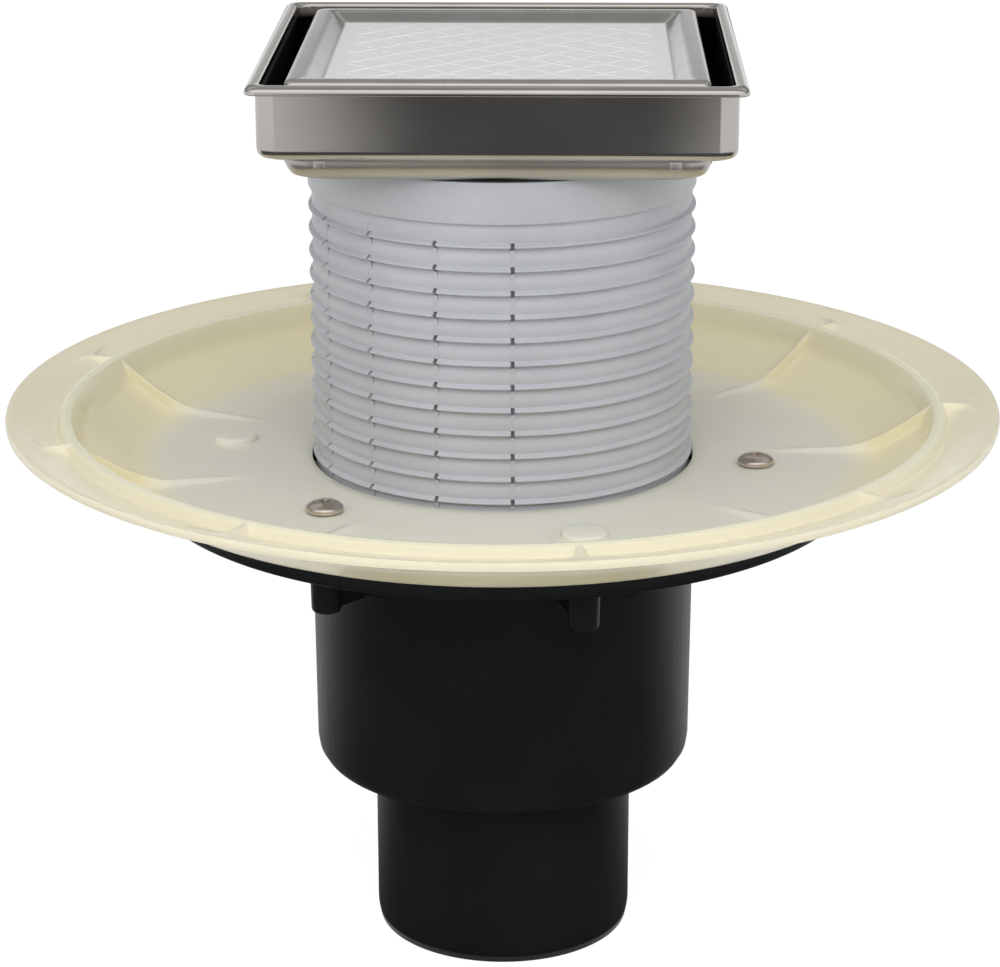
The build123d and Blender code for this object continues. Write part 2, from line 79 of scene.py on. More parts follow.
def softened(outline, cuts=2):
    # each corner (radius, height, rounding) of a closed outline becomes a short curve, over at most
    # this share of the runs beside it; a fourth value, the corner radius of a square plan, is
    # blended along with it, and a rounding too small to see is left sharp
    share, least = 0.45, 0.02
    spots = [Vector((*corner[:2], *corner[3:])) for corner in outline]
    points = []
    for k, corner in enumerate(spots):
        toBefore, toAfter = spots[k - 1] - corner, spots[(k + 1) % len(spots)] - corner
        reach = min(outline[k][2], share * toBefore.xy.length, share * toAfter.xy.length)
        if reach < least:
            points.append(corner)
            continue
        first = corner + toBefore * reach / toBefore.xy.length
        last = corner + toAfter * reach / toAfter.xy.length
        for cut in range(cuts + 1):
            t = cut / cuts
            points.append(first * (1 - t) ** 2 + corner * 2 * t * (1 - t) + last * t ** 2)
    return points


def divided(points, spacing):
    # more points on the long runs of a closed outline
    result = []
    for before, after in zip(points, points[1:] + points[:1]):
        count = max(1, round((after - before).length / spacing))
        result += [before.lerp(after, k / count) for k in range(count)]
    return result


def turnPiece(name, points, steps, startDeg=0.0):
    # draws a closed outline of (radius, height) points in mm, then spins it about Z
    turn = math.radians(startDeg)

    def spot(point):
        return Vector((point[0] * math.cos(turn), point[0] * math.sin(turn), point[1])) * mm

    bpy.ops.object.select_all(action="DESELECT")
    bpy.ops.mesh.primitive_plane_add(size=mm)
    piece = bpy.context.object
    piece.name = name
    bpy.ops.object.mode_set(mode="EDIT")
    bpy.ops.mesh.select_mode(type="VERT")
    bpy.ops.mesh.merge(type="CENTER")
    bpy.ops.transform.translate(value=spot(points[0]))
    for before, after in zip(points, points[1:] + points[:1]):
        bpy.ops.mesh.extrude_vertices_move(
            TRANSFORM_OT_translate={"value": spot(after) - spot(before)})
    bpy.ops.mesh.select_all(action="SELECT")
    bpy.ops.mesh.spin(steps=steps, angle=2 * math.pi, center=(0, 0, 0), axis=(0, 0, 1))
    bpy.ops.mesh.select_all(action="SELECT")
    bpy.ops.mesh.remove_doubles(threshold=weld)
    bpy.ops.mesh.normals_make_consistent(inside=False)
    bpy.ops.mesh.select_all(action="DESELECT")
    bpy.ops.object.mode_set(mode="OBJECT")
    return piece


def pickFaces(piece, test):
    # in edit mode, selects the faces whose middle (in mm) and normal pass the test
    bpy.ops.mesh.select_mode(type="FACE")
    bpy.ops.mesh.select_all(action="DESELECT")
    mesh = bmesh.from_edit_mesh(piece.data)
    for face in mesh.faces:
        if test(face.calc_center_median() / mm, face.normal):
            face.select_set(True)
    bmesh.update_edit_mesh(piece.data)


def loftPiece(name, loops, cuts, closed):
    # bridges rounded squares (half width, height, corner radius in mm), one loop to the next; the
    # loops are stacked apart while they are bridged and then moved to their own heights, and a
    # corner radius stays just short of half the square, so that no two of its points meet
    bpy.ops.object.select_all(action="DESELECT")
    piece, apart, roundest = None, 20.0, 0.995
    for k, (half, _, corner) in enumerate(loops):
        bpy.ops.mesh.primitive_plane_add(size=2 * half * mm, location=(0, 0, k * apart * mm))
        if piece is None:
            piece = bpy.context.object
            piece.name = name
            piece.data.transform(Matrix.Translation(piece.location))
            piece.location = (0, 0, 0)
            bpy.ops.object.mode_set(mode="EDIT")
            bpy.ops.mesh.select_mode(type="VERT")
        bpy.ops.mesh.bevel(offset=min(corner, roundest * half) * mm, segments=cuts, affect="VERTICES")
        bpy.ops.mesh.delete(type="ONLY_FACE")
    count = 4 * (cuts + 1)
    pairs = [(k, k + 1) for k in range(len(loops) - 1)]
    if closed:
        pairs.append((len(loops) - 1, 0))
    for first, second in pairs:
        pickLoops(piece, count, (first, second))
        bpy.ops.mesh.bridge_edge_loops()
    if not closed:
        for end in (0, len(loops) - 1):
            pickLoops(piece, count, (end,))
            bpy.ops.mesh.edge_face_add()
    for k, (_, level, _) in enumerate(loops):
        pickLoops(piece, count, (k,))
        bpy.ops.transform.translate(value=(0, 0, (level - k * apart) * mm))
    bpy.ops.mesh.select_all(action="SELECT")
    bpy.ops.mesh.normals_make_consistent(inside=False)
    bpy.ops.mesh.select_all(action="DESELECT")
    bpy.ops.object.mode_set(mode="OBJECT")
    return piece


def pickLoops(piece, count, loops):
    # in edit mode, selects whole loops of a loft by their place in the order of making
    bpy.ops.mesh.select_mode(type="VERT")
    bpy.ops.mesh.select_all(action="DESELECT")
    mesh = bmesh.from_edit_mesh(piece.data)
    mesh.verts.ensure_lookup_table()
    for edge in mesh.edges:
        homes = {vert.index // count for vert in edge.verts}
        if len(homes) == 1 and homes.pop() in loops:
            edge.select_set(True)
    bmesh.update_edit_mesh(piece.data)


def newBlock(size):
    # a block of this size in mm about the origin, all of it selected in edit mode
    bpy.ops.object.select_all(action="DESELECT")
    bpy.ops.mesh.primitive_cube_add(size=mm)
    bpy.ops.object.mode_set(mode="EDIT")
    bpy.ops.transform.resize(value=size)
    return bpy.context.object


def facesDown(middle, normal):
    # a test for pickFaces
    return normal.z < -0.5


def twinOf(piece):
    # a copy with its own mesh
    twin = piece.copy()
    twin.data = piece.data.copy()
    bpy.context.scene.collection.objects.link(twin)
    return twin


def copiesAround(piece, angles):
    # copies of a piece, turned about the drain's axis, in place of the piece itself
    copies = [twinOf(piece) for _ in angles]
    for twin, angle in zip(copies, angles):
        twin.data.transform(Matrix.Rotation(math.radians(angle), 4, "Z"))
    bpy.data.objects.remove(piece)
    return copies


def joined(name, pieces):
    bpy.ops.object.select_all(action="DESELECT")
    for piece in pieces:
        piece.select_set(True)
    bpy.context.view_layer.objects.active = pieces[0]
    bpy.ops.object.join()
    pieces[0].name = name
    return pieces[0]


def smoothed(piece, sharpDeg):
    bpy.ops.object.select_all(action="DESELECT")
    piece.select_set(True)
    bpy.context.view_layer.objects.active = piece
    bpy.ops.object.shade_smooth_by_angle(angle=math.radians(sharpDeg))


def moved(piece, offset):
    # moves a piece's mesh, so that the object itself stays at the origin
    piece.data.transform(Matrix.Translation(Vector(offset) * mm))


def standsFor(piece, node, body, material):
    # the finished piece takes the place of a CAD node
    piece.data.materials.clear()
    piece.data.materials.append(material)
    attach(piece, body)
    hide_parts(node)
    print("stage:", piece.name, "stands for", node, "with", len(piece.data.polygons), "faces")


# Material helpers

def hexColour(text):
    # sRGB hex to the linear values that the shaders use
    parts = [int(text[i:i + 2], 16) / 255 for i in (1, 3, 5)]
    linear = [c / 12.92 if c <= 0.04045 else ((c + 0.055) / 1.055) ** 2.4 for c in parts]
    return (*linear, 1.0)


def setInputs(node, inputs):
    # each input gets a link from a socket, or a plain value
    for name, value in inputs.items():
        if isinstance(value, bpy.types.NodeSocket):
            node.id_data.links.new(value, node.inputs[name])
        else:
            node.inputs[name].default_value = value


def addNode(tree, kind, inputs=None, output=None, **settings):
    # one shader node with its settings and its inputs; gives the node, or one of its outputs
    node = tree.nodes.new("ShaderNode" + kind)
    for name, value in settings.items():
        setattr(node, name, value)
    setInputs(node, inputs or {})
    return node if output is None else node.outputs[output]


def newMaterial(name):
    material = bpy.data.materials.new(name)
    material.use_nodes = True
    tree = material.node_tree
    tree.nodes.clear()
    shader = addNode(tree, "BsdfPrincipled")
    addNode(tree, "OutputMaterial", {"Surface": shader.outputs[0]})
    return material, tree, shader, addNode(tree, "TexCoord", output="Object")


def perMetre(sizeMm):
    # texture scale whose features are about this many millimetres
    return 1.0 / (sizeMm * mm)


noiseLow, noiseHigh = 0.3, 0.7  # noise seldom leaves this range


def mottled(tree, place, sizeMm, low, high, detail=3.0):
    # noise with features of this size, as it is and spread from low to high
    noise = addNode(tree, "TexNoise", {
        "Vector": place, "Scale": perMetre(sizeMm), "Detail": detail}, "Fac")
    return noise, addNode(tree, "MapRange", {
        "Value": noise, "From Min": noiseLow, "From Max": noiseHigh, "To Min": low, "To Max": high}, 0)


def flowMarks(tree, place, user):
    # slow flow marks in a moulding, between its two close colours; gives the marks and the colour
    _, flow = mottled(tree, place, user["flowMm"], 0.0, 1.0)
    return flow, addNode(tree, "Mix", {
        0: flow, 6: hexColour(user["colour"]), 7: hexColour(user["shade"])}, 2, data_type="RGBA")


def radiusOf(tree, place):
    # distance from the object's upright axis, in metres
    flat = addNode(tree, "VectorMath", {0: place, 1: (1, 1, 0)}, 0, operation="MULTIPLY")
    return addNode(tree, "VectorMath", {0: flat}, "Value", operation="LENGTH")


def paint(names, material):
    for name in names:
        slots = nodes[name].data.materials
        slots.clear()
        slots.append(material)


# Materials

def greyNeckPlastic():
    # ABS, injection moulded: cool light grey with a satin skin and a faint orange peel
    user = {"colour": "#babcc2", "shade": "#b2b4ba", "roughLow": 0.34, "roughHigh": 0.46,
            "flowMm": 22.0, "finerFlow": 3, "peelMm": 0.9, "peelDepthMm": 0.02, "ior": 1.53}
    material, tree, shader, place = newMaterial("absInjectionMoulded")
    _, tint = flowMarks(tree, place, user)
    fine = user["flowMm"] / user["finerFlow"]
    _, rough = mottled(tree, place, fine, user["roughLow"], user["roughHigh"])
    peel = addNode(tree, "TexNoise", {"Vector": place, "Scale": perMetre(user["peelMm"])}, "Fac")
    skin = addNode(tree, "Bump", {"Height": peel, "Distance": user["peelDepthMm"] * mm}, 0)
    setInputs(shader, {"Base Color": tint, "Roughness": rough, "Normal": skin, "IOR": user["ior"]})
    return material


def ivoryCollarPlastic():
    # natural polypropylene, injection moulded: waxy and glossy; the real one lets some light through, so
    # the colour is painted greyer over the black flange and yellower clear of it, as painted light and
    # shade, and lighter on the bead, as a painted highlight
    user = {"cream": "#e7e0c6", "slope": "#e5ddba", "overFlange": "#dddbcd", "bead": "#e7e4ca",
            "flangeMm": (93.8, 107.8), "rimMm": (120.0, 124.0), "beadMm": 123.8, "beadHalfMm": 2.6,
            "roughLow": 0.16, "roughHigh": 0.25, "cloudMm": 18.0, "ior": 1.49}
    material, tree, shader, place = newMaterial("naturalPolypropyleneMoulded")
    radius = radiusOf(tree, place)
    (inFlange, pastFlange), (inRim, pastRim) = user["flangeMm"], user["rimMm"]
    clear = addNode(tree, "MapRange", {
        "Value": radius, "From Min": inFlange * mm, "From Max": pastFlange * mm}, 0,
        interpolation_type="SMOOTHSTEP")
    outside = addNode(tree, "MapRange", {
        "Value": radius, "From Min": inRim * mm, "From Max": pastRim * mm}, 0)
    away = addNode(tree, "Math", {0: radius, 1: user["beadMm"] * mm}, 0, operation="SUBTRACT")
    away = addNode(tree, "Math", {0: away}, 0, operation="ABSOLUTE")
    # near the bead's crest the colour is painted lighter: a painted highlight where its thick section
    # catches the light
    beadHighlightShare = addNode(tree, "MapRange", {
        "Value": away, "From Max": user["beadHalfMm"] * mm, "To Min": 1.0, "To Max": 0.0}, 0,
        interpolation_type="SMOOTHSTEP")
    tint = hexColour(user["overFlange"])
    for share, colour in ((clear, user["slope"]), (outside, user["cream"]), (beadHighlightShare, user["bead"])):
        tint = addNode(tree, "Mix", {0: share, 6: tint, 7: hexColour(colour)}, 2, data_type="RGBA")
    _, rough = mottled(tree, place, user["cloudMm"], user["roughLow"], user["roughHigh"])
    setInputs(shader, {"Base Color": tint, "Roughness": rough, "IOR": user["ior"]})
    return material


def blackBodyPlastic():
    # carbon-filled polypropylene, injection moulded: near black, satin, with fine draw marks
    user = {"colour": "#131416", "shade": "#191a1d", "roughLow": 0.36, "roughHigh": 0.42,
            "flowMm": 30.0, "grainMm": 0.7, "depthMm": 0.008, "drawMm": 2.0,
            "stretch": (1.0, 1.0, 0.04), "drawShare": 0.6, "ior": 1.49, "specular": 0.18}
    material, tree, shader, place = newMaterial("blackPolypropyleneMoulded")
    _, tint = flowMarks(tree, place, user)
    drawn = addNode(tree, "Mapping", {"Vector": place, "Scale": user["stretch"]}, 0)
    marks, rough = mottled(tree, drawn, user["drawMm"], user["roughLow"], user["roughHigh"])
    grain = addNode(tree, "TexNoise", {"Vector": place, "Scale": perMetre(user["grainMm"])}, "Fac")
    skin = addNode(tree, "Bump", {"Height": grain, "Distance": user["depthMm"] * mm}, 0)
    skin = addNode(tree, "Bump", {
        "Height": marks, "Distance": user["depthMm"] * mm, "Strength": user["drawShare"],
        "Normal": skin}, 0)
    setInputs(shader, {"Base Color": tint, "Roughness": rough, "Normal": skin, "IOR": user["ior"],
                       "Specular IOR Level": user["specular"]})
    return material


def steelSkin(tree, shader, place, user):
    # warm grey metal: a slightly wavy sheet with drawn lines, which are too fine to show and so
    # are coarser here; gives its colour, its roughness and its normal
    lineShare = 0.5
    wave, cloud = mottled(tree, place, user["waveMm"], 0.0, 1.0, 2.0)
    tint = addNode(tree, "Mix", {
        0: cloud, 6: hexColour(user["colour"]), 7: hexColour(user["shade"])}, 2, data_type="RGBA")
    brushed = addNode(tree, "Mapping", {"Vector": place, "Scale": user["brush"]}, 0)
    lines, rough = mottled(tree, brushed, user["lineMm"], user["roughLow"], user["roughHigh"])
    skin = addNode(tree, "Bump", {"Height": wave, "Distance": user["waveDepthMm"] * mm}, 0)
    skin = addNode(tree, "Bump", {
        "Height": lines, "Distance": user["lineDepthMm"] * mm, "Strength": lineShare,
        "Normal": skin}, 0)
    setInputs(shader, {"Normal": skin, "Metallic": 1.0})
    return tint, rough, skin


def drawnPanSteel():
    # stainless sheet, deep drawn: polished outside, duller on the lower step; the inside is painted
    # dark and dull, as painted shade for the dark reflections within the pan
    user = {"colour": "#cac6c1", "shade": "#c0bbb6", "waveMm": 24.0, "waveDepthMm": 0.015,
            "brush": (0.2, 0.2, 1.0), "lineMm": 3.0, "lineDepthMm": 0.002, "roughLow": 0.09,
            "roughHigh": 0.11, "paintedShade": "#141312", "paintedShadeRough": 0.7, "cornerMm": 57.4,
            "bendMm": (1.0, 247.2), "midSheetMm": (3.9, 3.3), "paintedShadeTopMm": (262.0, 259.0),
            "stepTopMm": (243.4, 242.6), "stepRough": 0.34}
    material, tree, shader, place = newMaterial("stainlessDrawnPolished")
    tint, rough, _ = steelSkin(tree, shader, place, user)
    # the painted shade ends at the middle of the sheet, so it follows the rounded corners, by the
    # distance past the middle of a corner's curve, and then the bend at the wall's foot in the same way
    corner = Vector((user["cornerMm"], user["cornerMm"], 0)) * mm
    past = place
    for step, value in (("ABSOLUTE", (0, 0, 0)), ("SUBTRACT", corner), ("MAXIMUM", (0, 0, 0)),
                        ("MULTIPLY", (1, 1, 0))):
        past = addNode(tree, "VectorMath", {0: past, 1: value}, 0, operation=step)
    past = addNode(tree, "VectorMath", {0: past}, "Value", operation="LENGTH")
    height = addNode(tree, "SeparateXYZ", {0: place}, 2)
    bendIn, bendTop = user["bendMm"]
    away = addNode(tree, "Math", {0: past, 1: bendIn * mm}, 0, operation="SUBTRACT")
    under = addNode(tree, "Math", {0: bendTop * mm, 1: height}, 0, operation="SUBTRACT")
    bend = addNode(tree, "CombineXYZ", {0: away, 1: under}, 0)
    bend = addNode(tree, "VectorMath", {0: bend, 1: (0, 0, 0)}, 0, operation="MAXIMUM")
    bend = addNode(tree, "VectorMath", {0: bend}, "Value", operation="LENGTH")
    inSheet, belowTop, onStep = [
        addNode(tree, "MapRange", {"Value": value, "From Min": first * mm, "From Max": last * mm}, 0)
        for value, (first, last) in ((bend, user["midSheetMm"]), (height, user["paintedShadeTopMm"]),
                                     (height, user["stepTopMm"]))]
    # inside: the share of painted shade, a dark dull colour where the real steel only reflects the pan's
    # dark interior
    inside = addNode(tree, "Math", {0: inSheet, 1: belowTop}, 0, operation="MULTIPLY")
    tint = addNode(tree, "Mix", {0: inside, 6: tint, 7: hexColour(user["paintedShade"])}, 2, data_type="RGBA")
    for share, value in ((onStep, user["stepRough"]), (inside, user["paintedShadeRough"])):
        rough = addNode(tree, "Mix", {0: share, 2: rough, 3: value}, 0)
    setInputs(shader, {"Base Color": tint, "Roughness": rough})
    return material


def pressedTraySteel():
    # stainless sheet, pressed: a polished rim and a blasted floor, which is pale and matt; its
    # real grain is too fine to show and so is coarser here
    user = {"colour": "#c6c3c0", "shade": "#bdbab6", "waveMm": 12.0, "waveDepthMm": 0.02,
            "brush": (0.2, 1.0, 1.0), "lineMm": 2.0, "lineDepthMm": 0.002, "roughLow": 0.13,
            "roughHigh": 0.17, "blasted": "#e9e9e9", "blastedRough": 0.5, "bare": 0.3,
            "floorMm": (46.8, 46.0), "grainMm": 0.5, "grainDepthMm": 0.02}
    material, tree, shader, place = newMaterial("stainlessPressedBlasted")
    tint, rough, skin = steelSkin(tree, shader, place, user)
    # how far out a point lies, measured square to the frame's sides
    reach = addNode(tree, "VectorMath", {0: place}, 0, operation="ABSOLUTE")
    reach = addNode(tree, "SeparateXYZ", {0: reach})
    reach = addNode(tree, "Math", {0: reach.outputs[0], 1: reach.outputs[1]}, 0, operation="MAXIMUM")
    edge, full = user["floorMm"]
    floor = addNode(tree, "MapRange", {
        "Value": reach, "From Min": edge * mm, "From Max": full * mm}, 0)
    tint = addNode(tree, "Mix", {0: floor, 6: tint, 7: hexColour(user["blasted"])}, 2, data_type="RGBA")
    rough = addNode(tree, "Mix", {0: floor, 2: rough, 3: user["blastedRough"]}, 0)
    metallic = addNode(tree, "Mix", {0: floor, 2: 1.0, 3: user["bare"]}, 0)
    grain = addNode(tree, "TexNoise", {"Vector": place, "Scale": perMetre(user["grainMm"])}, "Fac")
    skin = addNode(tree, "Bump", {
        "Height": grain, "Distance": user["grainDepthMm"] * mm, "Normal": skin}, 0)
    setInputs(shader, {
        "Base Color": tint, "Roughness": rough, "Metallic": metallic, "Normal": skin})
    return material


def coldHeadedSteel():
    # stainless wire, cold headed: warm pale grey with a soft gloss
    user = {"colour": "#d6cdc3", "shade": "#c2b8ad", "waveMm": 3.0, "waveDepthMm": 0.02,
            "brush": (1.0, 1.0, 1.0), "lineMm": 0.4, "lineDepthMm": 0.004, "roughLow": 0.15,
            "roughHigh": 0.22}
    material, tree, shader, place = newMaterial("stainlessColdHeaded")
    tint, rough, _ = steelSkin(tree, shader, place, user)
    setInputs(shader, {"Base Color": tint, "Roughness": rough})
    return material


def sealRubber():
    # EPDM, moulded: dull black
    user = {"colour": "#17171a", "shade": "#202023", "grainMm": 0.6, "depthMm": 0.02, "rough": 0.7}
    material, tree, shader, place = newMaterial("epdmMoulded")
    grain, _ = mottled(tree, place, user["grainMm"], 0.0, 1.0)
    tint = addNode(tree, "Mix", {
        0: grain, 6: hexColour(user["colour"]), 7: hexColour(user["shade"])}, 2, data_type="RGBA")
    skin = addNode(tree, "Bump", {"Height": grain, "Distance": user["depthMm"] * mm}, 0)
    setInputs(shader, {"Base Color": tint, "Roughness": user["rough"], "Normal": skin})
    return material


def whiteTrapPlastic():
    # polypropylene, injection moulded: white with a soft gloss
    user = {"colour": "#dfe1e2", "shade": "#d4d7d9", "flowMm": 18.0, "roughLow": 0.26,
            "roughHigh": 0.36, "ior": 1.49}
    material, tree, shader, place = newMaterial("whitePolypropyleneMoulded")
    flow, tint = flowMarks(tree, place, user)
    rough = addNode(tree, "MapRange", {
        "Value": flow, "From Min": noiseLow, "From Max": noiseHigh, "To Min": user["roughLow"],
        "To Max": user["roughHigh"]}, 0)
    setInputs(shader, {"Base Color": tint, "Roughness": rough, "IOR": user["ior"]})
    return material


neckPlastic = greyNeckPlastic()
collarPlastic = ivoryCollarPlastic()
bodyPlastic = blackBodyPlastic()
rubber = sealRubber()
trapPlastic = whiteTrapPlastic()
panSteel = drawnPanSteel()
traySteel = pressedTraySteel()
screwSteel = coldHeadedSteel()

paint(["lock_ring"], neckPlastic)
paint(["collar_gasket", "neck_seal", "pan_gasket", "trap_seal"], rubber)
paint(["trap_cup", "trap_bell", "hair_strainer"], trapPlastic)
paint(["tray_feet"], panSteel)
paint(["trap_bail"], screwSteel)
print("stage: materials made")


# Neck: a moulded tube with cutting rings and columns of weep notches

def makeNeck():
    user = {"ring": 1.0, "wall": 2.6, "threadWall": 5.1, "threadRun": 12.0, "threadSlope": 1.0,
            "band": 11.3, "bandStep": 0.4, "bandRun": 1.8, "firstRing": 17.5, "pitch": 6.485,
            "rings": 15, "plainRings": 3, "grooveTop": 1.7, "slopeTop": 0.95, "groove": 0.2,
            "landTop": 0.25, "landFoot": 0.2, "undercut": 1.0, "undercutFoot": 0.8, "cove": 3.1,
            "soft": 0.3, "foot": 3.2, "footCut": 0.8, "steps": 320, "pitDeg": -85.8,
            "columnDeg": 22.5, "columns": 5, "stripShare": 0.98, "stripDepth": 0.1, "pitDepth": 2.1,
            "pitAbove": 1.0, "pitBelow": 1.1, "upright": 0.9, "sharpDeg": 34}
    low, high = boxMm("neck")
    radius, top, foot = high.x, high.z, low.z
    core, soft = radius - user["ring"], user["soft"]
    bore, band, bandStep = core - user["wall"], top - user["band"], user["bandStep"]
    threadFoot = top - user["threadRun"]
    levels = [top - user["firstRing"] - k * user["pitch"] for k in range(user["rings"])]
    outline = [(radius - user["threadWall"], top, 0.3), (radius, top, 0.4), (radius, band, 0.2),
               (core - bandStep, band - bandStep, soft), (core, band - user["bandRun"], 0.6)]
    for level in levels:
        outline += [(core, level + user["grooveTop"], 0),
                    (core - user["groove"], level + user["slopeTop"], 0.2),
                    (radius, level + user["landTop"], 0.25), (radius, level - user["landFoot"], 0.12),
                    (core - user["undercut"], level - user["undercutFoot"], soft),
                    (core, level - user["cove"], 1.2)]
    outline += [(core, foot + user["foot"] + bandStep, soft), (radius, foot + user["foot"], 0.2),
                (radius, foot + user["footCut"], 0.2), (radius - user["footCut"], foot, 0.2),
                (bore, foot, 0.3), (bore, threadFoot - user["threadSlope"], 0.3),
                (radius - user["threadWall"], threadFoot, 0.2)]
    step = 360 / user["steps"]
    piece = turnPiece("ringedNeck", softened(outline), user["steps"], user["pitDeg"] - step / 2)

    def fromPit(middle):
        # how far round a face lies from its column's pit, in steps; the columns stand in two
        # groups, half a turn apart
        place = (user["pitDeg"] - math.degrees(math.atan2(middle.y, middle.x))) / user["columnDeg"]
        column = round(place)
        if column % (180 / user["columnDeg"]) >= user["columns"]:
            return None  # no column here
        return round((column - place) * user["columnDeg"] / step)

    # a shallow strip down each column, and a pit through each ring but the last few
    notched = levels[:-user["plainRings"]]
    stripTop, stripFoot = notched[0] + user["pitch"] / 2, notched[-1] - user["pitch"] / 2
    inside = core - user["wall"] / 2
    bpy.ops.object.mode_set(mode="EDIT")
    for group in (0, 180):
        for column in range(user["columns"]):
            angle = user["pitDeg"] + group - column * user["columnDeg"]
            out = Vector((math.cos(math.radians(angle)), math.sin(math.radians(angle)), 0))
            pickFaces(piece, lambda middle, normal: stripFoot < middle.z < stripTop
                      and middle.xy.length > inside
                      and middle.dot(out) > core * user["stripShare"]
                      and fromPit(middle) == 0)
            bpy.ops.mesh.extrude_region_move()
            turn = Matrix.Rotation(math.radians(angle), 3, "Z").transposed()
            bpy.ops.transform.resize(value=(0, 1, 1), orient_type="GLOBAL",
                                     orient_matrix=tuple(tuple(axis) for axis in turn),
                                     orient_matrix_type="GLOBAL",
                                     center_override=out * (core - user["stripDepth"]) * mm)
    pickFaces(piece, lambda middle, normal: middle.xy.length > inside
              and normal.xy.length > user["upright"] and fromPit(middle) == 0
              and any(-user["pitBelow"] < middle.z - level < user["pitAbove"] for level in notched))
    bpy.ops.mesh.extrude_region_move()
    shrink = 1 - user["pitDepth"] / core
    bpy.ops.transform.resize(value=(shrink, shrink, 1), center_override=(0, 0, 0))
    bpy.ops.mesh.select_all(action="SELECT")
    bpy.ops.mesh.remove_doubles(threshold=weld)
    bpy.ops.mesh.select_all(action="DESELECT")
    bpy.ops.object.mode_set(mode="OBJECT")
    smoothed(piece, user["sharpDeg"])
    standsFor(piece, "neck", "neck_unit", neckPlastic)


# Collar: a moulded dish with an upstanding bead, a sloping rim, nine ribs and three pads

